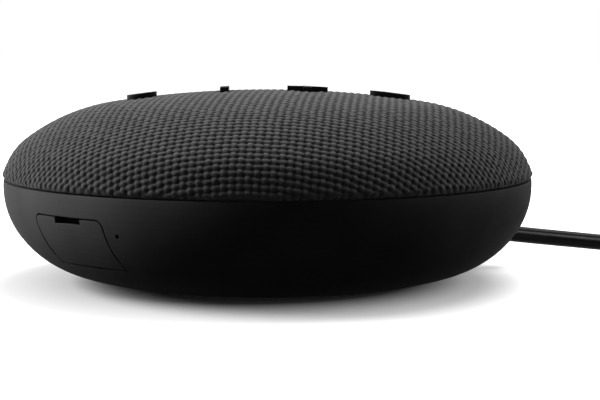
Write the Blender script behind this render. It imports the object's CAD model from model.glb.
import math

import bmesh
import bpy
import numpy as np
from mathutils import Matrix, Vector


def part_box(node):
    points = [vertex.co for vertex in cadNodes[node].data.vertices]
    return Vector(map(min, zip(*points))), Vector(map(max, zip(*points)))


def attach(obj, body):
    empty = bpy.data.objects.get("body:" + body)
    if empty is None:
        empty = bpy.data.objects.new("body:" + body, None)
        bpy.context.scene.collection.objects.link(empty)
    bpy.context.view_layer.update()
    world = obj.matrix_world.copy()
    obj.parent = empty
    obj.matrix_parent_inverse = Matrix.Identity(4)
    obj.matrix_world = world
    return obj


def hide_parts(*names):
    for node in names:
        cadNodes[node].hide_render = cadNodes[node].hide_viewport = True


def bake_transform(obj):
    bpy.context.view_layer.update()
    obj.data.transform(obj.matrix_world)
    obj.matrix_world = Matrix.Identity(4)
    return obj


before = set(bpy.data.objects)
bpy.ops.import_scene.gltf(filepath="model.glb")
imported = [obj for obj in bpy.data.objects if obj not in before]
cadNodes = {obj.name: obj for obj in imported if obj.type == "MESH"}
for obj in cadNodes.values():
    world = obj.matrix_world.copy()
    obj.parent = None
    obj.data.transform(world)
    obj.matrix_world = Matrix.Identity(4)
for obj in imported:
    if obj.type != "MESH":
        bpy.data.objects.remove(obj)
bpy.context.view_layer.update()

mm = 0.001
print("frame loaded:", len(cadNodes), "pieces")

# where the photo was taken from, in mm and degrees
shot = {
    "eye": (0, -400, 59.3),
    "pitch": 5.75,  # down
    "yaw": 1.13,  # to the right
    "focalPx": 1611,
    "framePx": 600,  # the frame's width that focalPx is meant for
    "sensor": 36,
    "clip": (0.01, 20),  # metres
}


def makeCamera():
    pitch, yaw = math.radians(shot["pitch"]), math.radians(shot["yaw"])
    level = math.cos(pitch)
    look = Vector((math.sin(yaw) * level, math.cos(yaw) * level, -math.sin(pitch)))
    data = bpy.data.cameras.new("camera")
    data.sensor_fit = "HORIZONTAL"
    data.sensor_width = shot["sensor"]
    data.lens = shot["sensor"] * shot["focalPx"] / shot["framePx"]
    data.clip_start, data.clip_end = shot["clip"]
    camera = bpy.data.objects.new("camera", data)
    camera.location = Vector(shot["eye"]) * mm
    camera.rotation_euler = look.to_track_quat("-Z", "Y").to_euler()
    bpy.context.collection.objects.link(camera)
    bpy.context.scene.camera = camera


makeCamera()
print("camera set")


def grey(value):
    return (value, value, value)


def newFinish(name, colour, roughness, specular=0.5, metallic=0.0):
    finish = bpy.data.materials.new(name)
    finish.use_nodes = True
    shader = finish.node_tree.nodes["Principled BSDF"]
    shader.inputs["Base Color"].default_value = (*colour, 1)
    shader.inputs["Roughness"].default_value = roughness
    shader.inputs["Specular IOR Level"].default_value = specular
    shader.inputs["Metallic"].default_value = metallic
    return finish, shader


def link(finish, out, socket):
    finish.node_tree.links.new(out, socket)


def addNode(finish, kind, inputs=(), **settings):
    node = finish.node_tree.nodes.new("ShaderNode" + kind)
    for key, value in settings.items():
        setattr(node, key, value)
    for key, value in dict(inputs).items():
        if isinstance(value, bpy.types.NodeSocket):
            link(finish, value, node.inputs[key])
        else:
            node.inputs[key].default_value = value
    return node


def calc(finish, operation, *values):
    return addNode(finish, "Math", dict(enumerate(values)), operation=operation).outputs[0]


def inMetres(finish):
    return addNode(finish, "TexCoord").outputs["Object"]


def noise(finish, where, scale, detail=2.0, rough=0.5):
    inputs = {"Vector": where, "Scale": scale, "Detail": detail, "Roughness": rough}
    return addNode(finish, "TexNoise", inputs).outputs["Fac"]


def stretch(finish, where, factors):
    return addNode(finish, "Mapping", {"Vector": where, "Scale": factors}).outputs["Vector"]


def spread(finish, value, low, high, fromLow=0.3, fromHigh=0.7):
    inputs = {"Value": value, "From Min": fromLow, "From Max": fromHigh, "To Min": low, "To Max": high}
    return addNode(finish, "MapRange", inputs).outputs["Result"]


def colourRamp(finish, value, stops):  # stops are places and colours
    ramp = addNode(finish, "ValToRGB", {"Fac": value})
    made = ramp.color_ramp.elements  # a new ramp has two
    for k, (place, colour) in enumerate(stops):
        stop = made[k] if k < 2 else made.new(place)
        stop.position, stop.color = place, (*colour, 1)
    return ramp.outputs["Color"]


def twoTone(finish, value, dark, light, start=0.3, stop=0.7):
    return colourRamp(finish, value, [(start, dark), (stop, light)])


def bump(finish, shader, height, depth, strength=1.0, under=None):
    inputs = {"Height": height, "Distance": depth, "Strength": strength}
    if under is not None:
        inputs["Normal"] = under
    link(finish, addNode(finish, "Bump", inputs).outputs["Normal"], shader.inputs["Normal"])


# what all moulded and all metal finishes share, in metres
moulded = {
    "grain": 0.00025,
    "depth": 0.00001,
    "edge": 0.0003,  # radius that edges are shaded with
    "edgeSamples": 6,
    "patches": 60,  # broad patches to the metre
    "patchTones": (0.86, 1.14),
    "roughVaries": 0.05,
}
drawn = {
    "lines": 4000,  # to the metre
    "depth": 0.000004,
    "stains": 150,
    "stainTone": 0.85,
    "roughVaries": (-0.08, 0.1),
}


def mouldedFinish(name, colour, roughness, specular, grain=moulded["grain"], depth=moulded["depth"]):
    finish, shader = newFinish(name, colour, roughness, specular)
    where = inMetres(finish)
    fine = noise(finish, where, 1 / grain, 3)
    broad = noise(finish, where, moulded["patches"])
    dark, light = [[c * tone for c in colour] for tone in moulded["patchTones"]]
    vary = moulded["roughVaries"]
    link(finish, twoTone(finish, broad, dark, light), shader.inputs["Base Color"])
    link(finish, spread(finish, fine, roughness - vary, roughness + vary), shader.inputs["Roughness"])
    edges = addNode(finish, "Bevel", {"Radius": moulded["edge"]}, samples=moulded["edgeSamples"])
    bump(finish, shader, fine, depth, under=edges.outputs["Normal"])
    return finish


def metalFinish(name, colour, roughness, along):
    finish, shader = newFinish(name, colour, roughness, 0.5, 1.0)
    lines = noise(finish, stretch(finish, inMetres(finish), along), drawn["lines"], 4, 0.6)
    stains = noise(finish, inMetres(finish), drawn["stains"], 3)
    less, more = drawn["roughVaries"]
    stained = [c * drawn["stainTone"] for c in colour]
    link(finish, twoTone(finish, stains, stained, colour), shader.inputs["Base Color"])
    link(finish, spread(finish, lines, roughness + less, roughness + more), shader.inputs["Roughness"])
    bump(finish, shader, lines, drawn["depth"])
    return finish


# colour, roughness and gloss, then the grain and its depth where they aren't the usual ones
plastics = {
    "shell_black": (grey(0.09), 0.78, 0.01),
    "key_black": (grey(0.006), 0.4, 0.05, 0.0002, 0.000006),
    "inner_black": (grey(0.02), 0.6, 0.35),
    "bay_black": (grey(0.004), 0.9, 0.05),
    "foot_rubber": (grey(0.014), 0.8, 0.2, 0.0003, 0.00003),
    "lead_black": (grey(0.004), 0.24, 0.03, 0.0016, 0.00002),
    "ferrite": (grey(0.035), 0.55, 0.5, 0.0002, 0.00002),
    "board_green": ((0.012, 0.09, 0.035), 0.35, 0.5, 0.0006, 0.00001),
    "header_white": ((0.72, 0.69, 0.6), 0.5, 0.4),
    "spider_cloth": ((0.42, 0.24, 0.08), 0.85, 0.2, 0.0005, 0.00004),
    "cone_paper": (grey(0.03), 0.75, 0.25, 0.0008, 0.00004),
    "ribbon": ((0.55, 0.2, 0.03), 0.35, 0.5, 0.0008, 0.000004),
}
# colour, roughness, and how the fine lines are drawn out
metals = {
    "steel": ((0.56, 0.55, 0.53), 0.32, (1, 1, 6)),
    "shield": ((0.62, 0.6, 0.56), 0.36, (6, 1, 1)),
    "copper": ((0.72, 0.33, 0.16), 0.3, (1, 1, 14)),
}
finishes = {name: mouldedFinish(name, *look) for name, look in plastics.items()}
finishes.update({name: metalFinish(name, *look) for name, look in metals.items()})


def dressNodes():
    slots = {}
    for name, piece in cadNodes.items():
        for slotted in piece.material_slots:
            kind = slotted.material.name.split(".")[0] if slotted.material else ""
            if kind in finishes:
                slotted.material = finishes[kind]
                slots[name] = kind
            else:
                print("  left for later:", name, kind)
    cadNodes["storage_bay"].material_slots[0].material = finishes["bay_black"]
    return slots


cadSlots = dressNodes()
print("finishes set")


def placePiece(name, data, finish):
    piece = bpy.data.objects.new(name, data)
    bpy.context.collection.objects.link(piece)
    data.materials.append(finish)
    return piece


def sweptPiece(name, rows, finish):  # closed rows of points, joined all the way round
    work = bmesh.new()
    made = [[work.verts.new(point) for point in row] for row in rows]
    for a, b in zip(made, made[1:] + made[:1]):
        for n in range(len(a)):
            m = (n + 1) % len(a)
            work.faces.new((a[n], b[n], b[m], a[m]))
    bmesh.ops.recalc_face_normals(work, faces=work.faces)
    mesh = bpy.data.meshes.new(name)
    work.to_mesh(mesh)
    work.free()
    mesh.polygons.foreach_set("use_smooth", [True] * len(mesh.polygons))
    return placePiece(name, mesh, finish)


# the lead runs out of the relief, along the table and into its coil, in mm
lead = {
    "thick": 4.2,
    "tip": (62.80, 16.83, 8.47),
    "run": [(72.5, 19.4, 7.2), (82, 21.9, 6), (91, 24, 4.9), (99, 25.6, 4), (106, 26.6, 3.4), (111.5, 27, 3.15)],
    "coilAt": (120, -1),
    "turns": 5.25,
    "innerR": 15.53,
    "step": 4.75,  # from one turn to the next, outward and upward
    "climb": 0.5,  # turns on which it goes up to the second layer
    "floorZ": 3.1,
    "perTurn": 28,
    "tail": 39.2,
    "tailPoints": 8,
    "tailDips": (17, 18),  # where the tail goes down to the plug, and over what length
    "plugZ": 3.6,
    "between": 4,  # points of the curve to each point of the route
    "rounding": 6,
}


def leadPoints():
    points = [lead["tip"], *lead["run"]]
    half = lead["turns"] / 2
    count = int(lead["turns"] * lead["perTurn"])
    cx, cy = lead["coilAt"]
    for k in range(count + 1):
        s = lead["turns"] * k / count
        r = lead["innerR"] + lead["step"] * abs(s - half)
        up = min(max((s - half + lead["climb"] / 2) / lead["climb"], 0), 1)
        a = math.radians(90) - 2 * math.pi * s
        points.append((cx + r * math.cos(a), cy + r * math.sin(a), lead["floorZ"] + lead["step"] * up))
    x0, y0, z0 = points[-1]
    start, over = lead["tailDips"]
    for k in range(1, lead["tailPoints"] + 1):
        way = lead["tail"] * k / lead["tailPoints"]
        share = min(max((way - start) / over, 0), 1)
        points.append((x0, y0 - way, z0 + (lead["plugZ"] - z0) * (1 - math.cos(math.pi * share)) / 2))
    return [Vector(p) * mm for p in points]


def smoothLine(points, count):
    knots = [2 * points[0] - points[1], *points, 2 * points[-1] - points[-2]]
    line = []
    for k in range(1, len(knots) - 2):
        a, b, c, d = knots[k - 1:k + 3]
        square, cube = 2 * a - 5 * b + 4 * c - d, 3 * b - a - 3 * c + d
        for n in range(count):
            t = n / count
            line.append(0.5 * (2 * b + (c - a) * t + square * t * t + cube * t ** 3))
    line.append(points[-1])
    return line


def makeLead():
    line = smoothLine(leadPoints(), lead["between"])
    curve = bpy.data.curves.new("lead", "CURVE")
    curve.dimensions = "3D"
    curve.bevel_depth = lead["thick"] / 2 * mm
    curve.bevel_resolution = lead["rounding"]
    curve.use_fill_caps = True
    spline = curve.splines.new("POLY")
    spline.points.add(len(line) - 1)
    spline.points.foreach_set("co", [c for p in line for c in (*p, 1)])
    spline.use_smooth = True
    piece = placePiece("lead", curve, finishes["lead_black"])
    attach(piece, "base")
    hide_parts("cable_run", "cable_coil")
    return piece, sum((b - a).length for a, b in zip(line, line[1:]))


leadPiece, leadLength = makeLead()
print("lead made:", round(leadLength, 3), "m")

# the strap round the coil's turns, in mm
tie = {
    "wide": 7,
    "thick": 0.9,
    "inner": (12.83, 28.5),  # from the coil's middle
    "foot": 0.05,
    "top": 11.1,
    "corner": 2.6,
    "perCorner": 8,
    "edge": 0.25,
}


def makeTie():
    cx, cy = lead["coilAt"]
    t, c, e, w = tie["thick"], tie["corner"], tie["edge"], tie["wide"] / 2
    x0, x1 = cx - tie["inner"][1] - t, cx - tie["inner"][0] + t
    z0, z1 = tie["foot"], tie["top"]
    corners = [(x1 - c, z1 - c), (x0 + c, z1 - c), (x0 + c, z0 + c), (x1 - c, z0 + c)]
    section = [(-w + e, 0), (w - e, 0), (w, e), (w, t - e), (w - e, t), (-w + e, t), (-w, t - e), (-w, e)]
    rows = []
    for k, (mx, mz) in enumerate(corners):
        for n in range(tie["perCorner"] + 1):
            a = math.radians(90 * k + 90 * n / tie["perCorner"])
            nx, nz = math.cos(a), math.sin(a)
            x, z = mx + c * nx, mz + c * nz
            rows.append([Vector((x - nx * d, cy + y, z - nz * d)) * mm for y, d in section])
    piece = sweptPiece("coilStrap", rows, finishes["foot_rubber"])
    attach(piece, "base")
    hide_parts("coil_tie")
    return piece


tiePiece = makeTie()
print("tie made")

# the dome's outline is three arcs, in mm and degrees
dome = {"rimAt": (51, 23.5), "rimR": 14, "rimTop": 53, "shoulderR": 46, "shoulderTop": 81.5}

# openings for the keys, in mm
keyHoles = {
    "at": [(-31.25, "disc"), (-10.75, "bar"), (9.75, "plus"), (30.25, "pill")],
    "gap": 0.25,
    "discR": 3.7,
    "bar": (1.05, 5),  # half its width and half its length
    "pill": (2.5, 2.5),  # half its straight part, and the radius of its ends
    "reach": 42,  # all of them are within this of the top
}

# woven cloth stretched over the dome, in mm
cover = {
    "pitchX": 1.77,  # between yarns that run to the back
    "pitchY": 1.60,  # between yarns that run across
    "turn": -4.7,
    "perCell": 4,
    "edge": 72.4,  # along the dome from its top
    "waveX": 0.14,  # how far a yarn that runs across rises and dips
    "waveY": 0.21,
    "halfX": 0.53,  # half width of a yarn that runs across
    "halfY": 0.66,
    "round": 0.3,
    "pit": -0.7,
    "wander": 0.07,  # how far yarns stray from their lines
    "wanderX": {"slow": (0.61, 1.7, 0.13, 0.0), "quick": (1.13, -0.37, 2.0)},
    "wanderY": {"slow": (0.53, 1.9, 0.17, 1.0), "quick": (1.07, 0.41, 0.0)},
    "quickShare": 0.7,
    "snap": 0.26,  # points this near to an opening move onto its outline
    "clear": 0.02,  # cells this near to an opening are left out
    "pressed": (0.1, 0.9, 0.25),  # beside an opening: from where, over what width, least share of the weave
    "level": -0.3,  # height that it is pressed to
    "bulge": (0.25, 71.6, 1.6),  # how far the cloth swells near its edge, where, and over what width
    "proud": 0.03,  # the yarns' tops over the dome's outline
    "rim": (1.5, -0.35),  # band that ends on the hem's line, and its height
    "hem": [(0.25, -0.22), (0.8, -0.3), (1.6, 0.1)],  # in and up
    "hemR": 55,  # edges further out than this are hem
    "holeDrops": (0.35, 0.5),
    "merge": 0.04,
    "seam": 2,  # cloth for the hem all round
}

# how the cloth shears to lie on the dome
drape = {
    "share": 0.97,  # at 0 the yarns stay straight in the flat
    "samples": 1600,
    "beyond": 12,  # mm of the dome's line past the edge
    "limit": 3,  # mm past the edge where yarns are given up
    "tries": 4,
    "mostWay": 0.3,
    "mostTurn": 0.05,
    "least": 1e-6,
}


def domeArcs():
    cx, cz = dome["rimAt"]
    a, b = math.radians(dome["rimTop"]), math.radians(dome["shoulderTop"])
    sx = cx - (dome["shoulderR"] - dome["rimR"]) * math.cos(a)
    sz = cz - (dome["shoulderR"] - dome["rimR"]) * math.sin(a)
    crownR = dome["shoulderR"] + sx / math.cos(b)
    crownZ = sz - (crownR - dome["shoulderR"]) * math.sin(b)
    return sx, sz, crownR, crownZ, a, b


def domeAt(s):  # radius, height and slope at a way along the dome from its top
    sx, sz, crownR, crownZ, a, b = domeArcs()
    rx, rz = dome["rimAt"]
    shoulderR, rimR = dome["shoulderR"], dome["rimR"]
    crownL, shoulderL = crownR * (math.pi / 2 - b), shoulderR * (b - a)

    def pick(onCrown, onShoulder, onRim):
        return np.where(s < crownL, onCrown, np.where(s < crownL + shoulderL, onShoulder, onRim))

    up = pick(math.pi / 2 - s / crownR, b - (s - crownL) / shoulderR, a - (s - crownL - shoulderL) / rimR)
    r = pick(crownR * np.cos(up), sx + shoulderR * np.cos(up), rx + rimR * np.cos(up))
    z = pick(crownZ + crownR * np.sin(up), sz + shoulderR * np.sin(up), rz + rimR * np.sin(up))
    return r, z, up


def slabDistance(dx, dy, halfX, halfY):
    ox, oy = dx - halfX, dy - halfY
    return np.hypot(np.maximum(ox, 0), np.maximum(oy, 0)) + np.minimum(np.maximum(ox, oy), 0)


def keyDistance(x, y):  # to the nearest opening's outline, below 0 inside it
    gap = keyHoles["gap"]
    wide, long = [half + gap for half in keyHoles["bar"]]
    straight, endR = keyHoles["pill"]
    nearest = np.full(x.shape, 1e3)
    for kx, outline in keyHoles["at"]:
        dx, dy = np.abs(x - kx), np.abs(y)
        if outline == "disc":
            d = np.hypot(dx, dy) - keyHoles["discR"] - gap
        elif outline == "bar":
            d = slabDistance(dx, dy, wide, long)
        elif outline == "plus":
            d = np.minimum(slabDistance(dx, dy, wide, long), slabDistance(dx, dy, long, wide))
        else:
            d = np.hypot(np.maximum(dx - straight, 0), dy) - endR - gap
        nearest = np.minimum(nearest, d)
    return nearest


def planShare(s):  # how much nearer the axis a point of the crown is than its way along the cloth
    crownR = domeArcs()[2]
    s = np.clip(s, 0.01, keyHoles["reach"])
    return crownR * np.sin(s / crownR) / s


def yarnHeight(u, v):
    du = (u - np.floor(u) - 0.5) * cover["pitchX"]
    dv = (v - np.floor(v) - 0.5) * cover["pitchY"]
    oddU = 1 - 2 * (np.floor(u) % 2)
    oddV = 1 - 2 * (np.floor(v) % 2)
    across = cover["waveX"] * oddV * np.sin(np.pi * u)
    deep = -cover["waveY"] * oddU * np.sin(np.pi * v)
    sideX, sideY = np.abs(dv) / cover["halfX"], np.abs(du) / cover["halfY"]
    across = across + cover["round"] * (np.sqrt(np.maximum(1 - sideX ** 2, 0)) - 1)
    deep = deep + cover["round"] * (np.sqrt(np.maximum(1 - sideY ** 2, 0)) - 1)
    across = np.where(sideX < 1, across, cover["pit"])
    deep = np.where(sideY < 1, deep, cover["pit"])
    return np.maximum(np.maximum(across, deep), cover["pit"])


def wander(along, beside, rates):  # slow bends of a yarn with quicker ones on them
    rate, bend, bendRate, start = rates["slow"]
    quickRate, lean, quickStart = rates["quick"]
    slow = np.sin(rate * along + bend * np.sin(bendRate * beside) + start)
    quick = np.sin(quickRate * along + lean * beside + quickStart)
    return cover["wander"] * (slow + cover["quickShare"] * quick)


def drapedNet(us, vs):  # a quarter of the cloth: where crossings lie when yarns keep their length
    s = np.linspace(0, cover["edge"] + drape["beyond"], drape["samples"])
    slope = drape["share"] * (math.pi / 2 - domeAt(s)[2])
    ds = s[1] - s[0]
    mid = (slope[1:] + slope[:-1]) / 2
    out = np.concatenate([[0], np.cumsum(np.cos(mid) * ds)])
    down = np.concatenate([[0], np.cumsum(np.sin(mid) * ds)])

    def place(x, y):
        way, a = np.hypot(x, y), np.arctan2(y, x)
        r, z, tilt = [np.interp(way, s, line) for line in (out, down, slope)]
        spot = np.stack([r * np.cos(a), r * np.sin(a), z])
        byWay = np.stack([np.cos(tilt) * np.cos(a), np.cos(tilt) * np.sin(a), np.sin(tilt)])
        byTurn = np.stack([-r * np.sin(a), r * np.cos(a), 0 * a])
        return spot, byWay, byTurn, way, a

    stepU, stepV = us[1], vs[1]
    limit = cover["edge"] + drape["limit"]
    x, y = np.repeat(us[:, None], len(vs), 1), np.repeat(vs[None, :], len(us), 0)
    for k in range(2, len(us) + len(vs) - 1):  # one diagonal after another
        i = np.arange(max(1, k - len(vs) + 1), min(k, len(us)))
        j = k - i
        ux, uy, vx, vy = x[i - 1, j], y[i - 1, j], x[i, j - 1], y[i, j - 1]  # neighbours already placed
        px, py = ux + vx - x[i - 1, j - 1], uy + vy - y[i - 1, j - 1]
        besideU, besideV = place(ux, uy)[0], place(vx, vy)[0]
        for _ in range(drape["tries"]):
            spot, byWay, byTurn, way, a = place(px, py)
            toU, toV = spot - besideU, spot - besideV
            missU = ((toU ** 2).sum(0) - stepU ** 2) / 2
            missV = ((toV ** 2).sum(0) - stepV ** 2) / 2
            uWay, uTurn = (toU * byWay).sum(0), (toU * byTurn).sum(0)
            vWay, vTurn = (toV * byWay).sum(0), (toV * byTurn).sum(0)
            det = uWay * vTurn - uTurn * vWay
            det = np.where(np.abs(det) < drape["least"], drape["least"], det)
            way = way - np.clip((missU * vTurn - uTurn * missV) / det, -drape["mostWay"], drape["mostWay"])
            a = a - np.clip((uWay * missV - missU * vWay) / det, -drape["mostTurn"], drape["mostTurn"])
            px, py = way * np.cos(a), way * np.sin(a)
        far = np.maximum(np.hypot(px, py), np.maximum(np.hypot(ux, uy), np.hypot(vx, vy)))
        x[i, j] = np.where(far > limit, 2 * limit, px)  # what is past the edge stays past it
        y[i, j] = np.where(far > limit, 2 * limit, py)
    return x, y


def corners(grid):  # of every cell, in order round it
    return grid[:-1, :-1], grid[1:, :-1], grid[1:, 1:], grid[:-1, 1:]


def snapToHoles(fx, fy):  # pulls the points beside an opening onto its outline
    nudge = 1e-3
    for _ in range(2):
        s = np.hypot(fx, fy)
        plan = planShare(s)
        px, py = fx * plan, fy * plan
        d = keyDistance(px, py)
        slopeX = (keyDistance(px + nudge, py) - d) / nudge
        slopeY = (keyDistance(px, py + nudge) - d) / nudge
        pull = np.where((np.abs(d) < cover["snap"]) & (s < keyHoles["reach"]), d, 0)
        fx, fy = fx - slopeX * pull / plan, fy - slopeY * pull / plan
    return fx, fy


def pulledOut(work, edges):
    made = bmesh.ops.extrude_edge_only(work, edges=edges)["geom"]
    edges = [g for g in made if isinstance(g, bmesh.types.BMEdge) and g.is_boundary]
    return edges, {v for e in edges for v in e.verts}


def turnEdgesIn(mesh):  # the hem goes into the seam, the openings' edges go down
    work = bmesh.new()
    work.from_mesh(mesh)
    bmesh.ops.remove_doubles(work, verts=[v for v in work.verts if v.is_boundary], dist=cover["merge"] * mm)
    border = [e for e in work.edges if e.is_boundary]
    hemEdges = [e for e in border if e.verts[0].co.xy.length > cover["hemR"] * mm]
    holeEdges = [e for e in border if e.verts[0].co.xy.length <= cover["hemR"] * mm]
    edgeR, edgeZ, _ = [float(value[0]) for value in domeAt(np.array([cover["edge"]]))]
    for inward, upward in cover["hem"]:
        hemEdges, moved = pulledOut(work, hemEdges)
        for v in moved:
            flat = v.co.xy.normalized() * (edgeR + cover["proud"] + cover["rim"][1] - inward) * mm
            v.co = (flat.x, flat.y, (edgeZ + upward) * mm)
    for drop in cover["holeDrops"]:
        holeEdges, moved = pulledOut(work, holeEdges)
        for v in moved:
            v.co.z -= drop * mm
    bmesh.ops.recalc_face_normals(work, faces=work.faces)
    if sum(f.normal.z for f in work.faces) < 0:
        bmesh.ops.reverse_faces(work, faces=work.faces)
    work.to_mesh(mesh)
    work.free()


def makeCover(finish):
    stepU, stepV = cover["pitchX"] / cover["perCell"], cover["pitchY"] / cover["perCell"]
    reach = cover["edge"] + 1
    lastU, lastV = int(reach / stepU) + 1, int(reach / stepV) + 1
    gu, gv = np.meshgrid(np.arange(-lastU, lastU + 1), np.arange(-lastV, lastV + 1), indexing="ij")
    netX, netY = drapedNet(np.arange(lastU + 1) * stepU, np.arange(lastV + 1) * stepV)
    wx = np.sign(gu) * netX[np.abs(gu), np.abs(gv)]
    wy = np.sign(gv) * netY[np.abs(gu), np.abs(gv)]
    cosT, sinT = math.cos(math.radians(cover["turn"])), math.sin(math.radians(cover["turn"]))
    fromX, fromY = wx * cosT - wy * sinT, wx * sinT + wy * cosT
    cell = np.logical_and.reduce(corners(np.hypot(fromX, fromY) <= cover["edge"]))

    fx, fy = snapToHoles(fromX, fromY)
    s, around = np.hypot(fx, fy), np.arctan2(fy, fx)
    plan = planShare(s)
    d = np.where(s < keyHoles["reach"], keyDistance(fx * plan, fy * plan), 10)
    cell &= sum(corners(d)) / 4 > cover["clear"]
    dx, dy = fx - fromX, fy - fromY
    strayX, strayY = wander(fy, fx, cover["wanderX"]), wander(fx, fy, cover["wanderY"])
    wu = (gu * stepU + dx * cosT + dy * sinT + strayX) / cover["pitchX"]  # counted in yarns
    wv = (gv * stepV - dx * sinT + dy * cosT + strayY) / cover["pitchY"]
    near, width, least = cover["pressed"]
    h = cover["level"] + (yarnHeight(wu, wv) - cover["level"]) * np.clip((d - near) / width, least, 1)

    shared = np.zeros(s.shape, int)  # cells that a point belongs to
    for corner in corners(shared):
        corner += cell
    used = shared > 0
    number = np.full(s.shape, -1)
    number[used] = np.arange(used.sum())
    quads = np.stack([corner[cell] for corner in corners(number)], 1)
    band, rimH = cover["rim"]
    rim = used & (shared < 4) & (s > cover["edge"] - band)  # the cloth's own edge goes out to the hem's line
    s, h = np.where(rim, cover["edge"], s)[used], np.where(rim, rimH, h)[used]
    r, z, up = domeAt(s)
    swell, at, over = cover["bulge"]
    lift = h + cover["proud"] + swell * np.exp(-((s - at) / over) ** 2)
    out, a = r + lift * np.cos(up), around[used]
    points = np.stack([out * np.cos(a), out * np.sin(a), z + lift * np.sin(up)], 1) * mm

    mesh = bpy.data.meshes.new("wovenCover")
    mesh.from_pydata(points.tolist(), [], quads.tolist())
    yarnMap = mesh.uv_layers.new(name="yarnMap")
    loops = np.zeros(len(mesh.loops), int)
    mesh.loops.foreach_get("vertex_index", loops)
    uv = np.stack([wu[used], wv[used]], 1)[loops]
    yarnMap.uv.foreach_set("vector", uv.astype(np.float32).ravel())
    turnEdgesIn(mesh)
    mesh.polygons.foreach_set("use_smooth", [True] * len(mesh.polygons))
    return placePiece("wovenCover", mesh, finish)


# the cloth's colours, for the yarns as they are modelled above
cloth = {
    "tones": [(0.0, 0.001), (0.4, 0.003), (0.62, 0.048), (1.0, 0.1)],  # from deep in the weave to a yarn's top
    "deepX": 0.38,  # mm below a yarn's top where it is darkest
    "deepY": 0.34,
    "strands": (1.6, 14),  # along a yarn and across it, to each crossing
    "strandTones": (0.9, 1.1),
    "strandDepth": 0.00006,
    "strandBump": 0.7,
    "flecks": 700,  # to the metre
    "fleckTones": (-0.15, 0.15),
    "roughness": 0.8,
    "gloss": 0.1,
    "sheen": 0.1,
    "sheenRough": 0.5,
}


def clothFinish():
    finish, shader = newFinish("cover_weave", grey(0.06), cloth["roughness"], cloth["gloss"])
    shader.inputs["Sheen Weight"].default_value = cloth["sheen"]
    shader.inputs["Sheen Roughness"].default_value = cloth["sheenRough"]

    def do(operation, *values):
        return calc(finish, operation, *values)

    def yarn(along, side, pitch, half, wave):  # height of one set: along in crossings, side in yarns
        over = do("SIGN", do("SINE", do("MULTIPLY", side, math.pi)))
        weave = do("MULTIPLY", over, do("SINE", do("MULTIPLY", along, math.pi)))
        off = do("MULTIPLY", do("SUBTRACT", do("FRACT", side), 0.5), pitch / half)
        rounded = do("SQRT", do("MAXIMUM", do("SUBTRACT", 1.0, do("MULTIPLY", off, off)), 0.0))
        edge = do("MULTIPLY", do("SUBTRACT", rounded, 1.0), cover["round"])
        height = do("ADD", do("MULTIPLY", weave, wave), edge)
        return do("SUBTRACT", height, do("LESS_THAN", rounded, 0.001))  # beside the yarn it is far down

    flat = addNode(finish, "UVMap", uv_map="yarnMap").outputs["UV"]
    parts = addNode(finish, "SeparateXYZ", {0: flat})
    u, v = parts.outputs[0], parts.outputs[1]
    across = yarn(u, v, cover["pitchY"], cover["halfX"], cover["waveX"])
    deep = yarn(v, u, cover["pitchX"], cover["halfY"], -cover["waveY"])
    onTop = do("GREATER_THAN", across, deep)

    def upper(ofDeep, ofAcross):
        return addNode(finish, "Mix", {0: onTop, 2: ofDeep, 3: ofAcross}, data_type="FLOAT").outputs[0]

    length, width = cloth["strands"]
    strandX = noise(finish, stretch(finish, flat, (length, width, 1)), 1.0, 3, 0.6)
    strandY = noise(finish, stretch(finish, flat, (width, length, 1)), 1.0, 3, 0.6)
    strand = upper(strandY, strandX)
    fleck = noise(finish, inMetres(finish), cloth["flecks"])
    shareX = do("DIVIDE", do("SUBTRACT", across, cover["waveX"]), cloth["deepX"])
    shareY = do("DIVIDE", do("SUBTRACT", deep, cover["waveY"]), cloth["deepY"])
    level = do("ADD", upper(shareY, shareX), spread(finish, strand, *cloth["strandTones"]))
    level = do("ADD", level, spread(finish, fleck, *cloth["fleckTones"]))
    tones = colourRamp(finish, level, [(place, grey(tone)) for place, tone in cloth["tones"]])
    link(finish, tones, shader.inputs["Base Color"])
    bump(finish, shader, strand, cloth["strandDepth"], cloth["strandBump"])
    return finish


coverPiece = makeCover(clothFinish())
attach(coverPiece, "base")
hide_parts("fabric_cover")
print("cover made:", len(coverPiece.data.polygons), "faces")

# the driver's soft rings are held at the basket and carried along by the cone, in mm
softRings = {
    "rollThick": 0.5,
    "rollLips": (1.4, 1.6),  # flat lips inside and outside the roll
    "rollSteps": 16,
    "spiderThick": 0.3,
    "spiderWaves": 4,
    "spiderDeep": 0.3,
    "spiderWavy": 0.75,  # share of its width
    "spiderSteps": 64,
    "spiderLip": 0.2,
    "around": 96,
}


def nodeRing(node):
    radii = [v.co.xy.length / mm for v in cadNodes[node].data.vertices]
    low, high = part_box(node)
    return min(radii), max(radii), low[2] / mm, high[2] / mm


def rollProfile():  # its outline, and the radii where it is held and where it moves
    inner, outer, low, high = nodeRing("surround")
    t, steps = softRings["rollThick"], softRings["rollSteps"]
    a, b = inner + softRings["rollLips"][0], outer - softRings["rollLips"][1]
    mid, roll = (a + b) / 2, (b - a) / 2
    turns = [math.pi * k / steps for k in range(steps + 1)]
    under = [(mid - (roll - t) * math.cos(k), low + (roll - t) * math.sin(k)) for k in turns]
    over = [(mid + roll * math.cos(k), low + t + (high - low - t) * math.sin(k)) for k in turns]
    return [(inner, low), *under, (outer, low), (outer, low + t), *over, (inner, low + t)], b, a


def spiderProfile():
    inner, outer, low, high = nodeRing("spider")
    t, deep, wavy = softRings["spiderThick"], softRings["spiderDeep"], softRings["spiderWavy"]
    top = []
    for k in range(softRings["spiderSteps"] + 1):
        f = k / softRings["spiderSteps"]
        wave = deep * math.sin(2 * math.pi * softRings["spiderWaves"] * f / wavy) if f < wavy else 0
        top.append((inner + (outer - inner) * f, high - deep + wave))
    under = [(r, z - t) for r, z in top]
    return under + top[::-1], inner + (outer - inner) * wavy, inner + softRings["spiderLip"]


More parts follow.
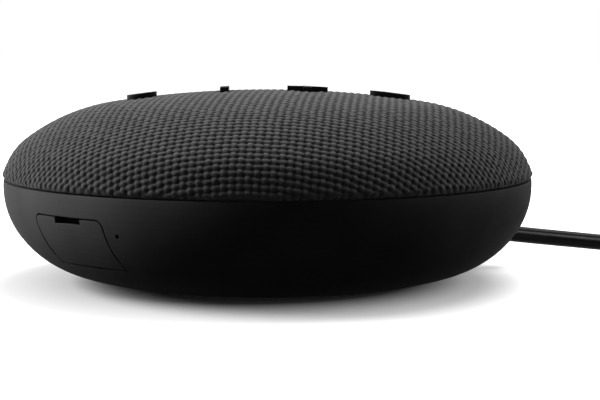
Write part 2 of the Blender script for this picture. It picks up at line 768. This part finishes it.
def makeSoftRing(name, node, shape):
    profile, heldR, movedR = shape
    rows = []
    for k in range(softRings["around"]):
        a = 2 * math.pi * k / softRings["around"]
        rows.append([Vector((r * math.cos(a), r * math.sin(a), z)) * mm for r, z in profile])
    piece = sweptPiece(name, rows, finishes[cadSlots[node]])
    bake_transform(piece)
    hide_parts(node)


makeSoftRing("coneRoll", "surround", rollProfile())
makeSoftRing("coneSpider", "spider", spiderProfile())
print("driver rings made")

# a white table and backdrop that keep the shadow, in metres
table = {
    "half": 6,
    "seen": 0.9,
    "bounce": 0.02,  # the tone that lights the object from below
    "roughness": 0.9,
    "liftMid": (-0.005, 0),
    "lift": [(0.036, 0.004), (0.0435, 0.014), (0.077, 0.7), (0.2, 0.72), (0.4, 1.0)],  # from liftMid, lift to white
    "footShade": (0.0375, 0.75),  # radius past which the table holds back the under lamp, and its share
}
backdrop = {"around": 0.015, "seen": 1.0}
lamps = {
    "left": {"at": (-0.87, 0.16, 0.4), "size": 0.58, "watts": 12.5},
    "right": {"at": (0.85, 0.2, 0.45), "size": 0.5, "watts": 2},
    "above": {"at": (0.28, 0.4, 0.94), "size": 0.9, "watts": 10.3, "past": leadPiece},  # the lead casts no shadow
    "under": {"at": (0, 0, -0.08), "size": 0.084, "watts": 0.012, "spread": 6},  # for looks at the underside
    "glint": {"at": (0.252, -0.095, 0.153), "aim": (0.085, 0.02, 0.006), "size": 0.13, "watts": 1.1,
              "only": leadPiece},  # shine along the lead
}
lampUsual = {"aim": (0, 0, 0.02), "spread": 180}


def seenDirectly(finish):
    path = addNode(finish, "LightPath").outputs
    mirrored = calc(finish, "MAXIMUM", path["Is Camera Ray"], path["Is Glossy Ray"])
    return calc(finish, "MAXIMUM", mirrored, path["Is Transmission Ray"])


def tableFinish():
    finish, shader = newFinish("table_white", grey(table["seen"]), table["roughness"], 0.0)
    seen = seenDirectly(finish)
    tone = twoTone(finish, seen, grey(table["bounce"]), grey(table["seen"]), 0, 1)
    link(finish, tone, shader.inputs["Base Color"])
    place = inMetres(finish)
    away = addNode(finish, "VectorMath", {0: place}, operation="LENGTH").outputs["Value"]
    fromMid = addNode(finish, "VectorMath", {0: place, 1: (*table["liftMid"], 0)}, operation="DISTANCE")
    lift = colourRamp(finish, fromMid.outputs["Value"], [(r, grey(level)) for r, level in table["lift"]])
    shader.inputs["Emission Color"].default_value = (1, 1, 1, 1)
    link(finish, calc(finish, "MULTIPLY", seen, lift), shader.inputs["Emission Strength"])
    # from below it is clear, and it lets the under lamp through to the foot
    path = addNode(finish, "LightPath").outputs
    radius, share = table["footShade"]
    bounced = calc(finish, "GREATER_THAN", path["Diffuse Depth"], 0.5)
    shaded = calc(finish, "MULTIPLY", calc(finish, "GREATER_THAN", away, radius), share)
    passed = calc(finish, "SUBTRACT", path["Is Shadow Ray"], calc(finish, "MAXIMUM", bounced, shaded))
    below = addNode(finish, "NewGeometry").outputs["Backfacing"]
    through = calc(finish, "MAXIMUM", below, passed)
    clear = addNode(finish, "BsdfTransparent").outputs[0]
    mixed = addNode(finish, "MixShader", {0: through, 1: shader.outputs[0], 2: clear}).outputs[0]
    link(finish, mixed, finish.node_tree.nodes["Material Output"].inputs["Surface"])
    return finish


def makeTable():
    work = bmesh.new()
    bmesh.ops.create_grid(work, x_segments=8, y_segments=8, size=table["half"])
    mesh = bpy.data.meshes.new("table")
    work.to_mesh(mesh)
    work.free()
    placePiece("table", mesh, tableFinish())


def makeBackdrop():
    world = bpy.data.worlds.new("studio")
    world.use_nodes = True
    bpy.context.scene.world = world
    ground = world.node_tree.nodes["Background"]
    ground.inputs["Color"].default_value = (1, 1, 1, 1)
    inputs = {"Value": seenDirectly(world), "To Min": backdrop["around"], "To Max": backdrop["seen"]}
    link(world, addNode(world, "MapRange", inputs).outputs["Result"], ground.inputs["Strength"])


def makeLamp(name, size, watts, at, aim, spread, only=None, past=None):
    lamp = bpy.data.lights.new(name, "AREA")
    lamp.shape = "DISK"
    lamp.size = size
    lamp.energy = watts
    lamp.spread = math.radians(spread)
    holder = bpy.data.objects.new(name, lamp)
    holder.location = at
    holder.rotation_euler = (Vector(aim) - Vector(at)).to_track_quat("-Z", "Y").to_euler()
    bpy.context.collection.objects.link(holder)
    if only:
        lit = bpy.data.collections.new(name)
        lit.objects.link(only)
        holder.light_linking.receiver_collection = lit
    if past:
        spared = bpy.data.collections.new(name)
        spared.objects.link(past)
        spared.collection_objects[0].light_linking.link_state = "EXCLUDE"
        holder.light_linking.blocker_collection = spared


makeTable()
makeBackdrop()
for name, lamp in lamps.items():
    makeLamp(name, **{**lampUsual, **lamp})
bpy.context.scene.view_settings.view_transform = "Standard"
print("studio set")
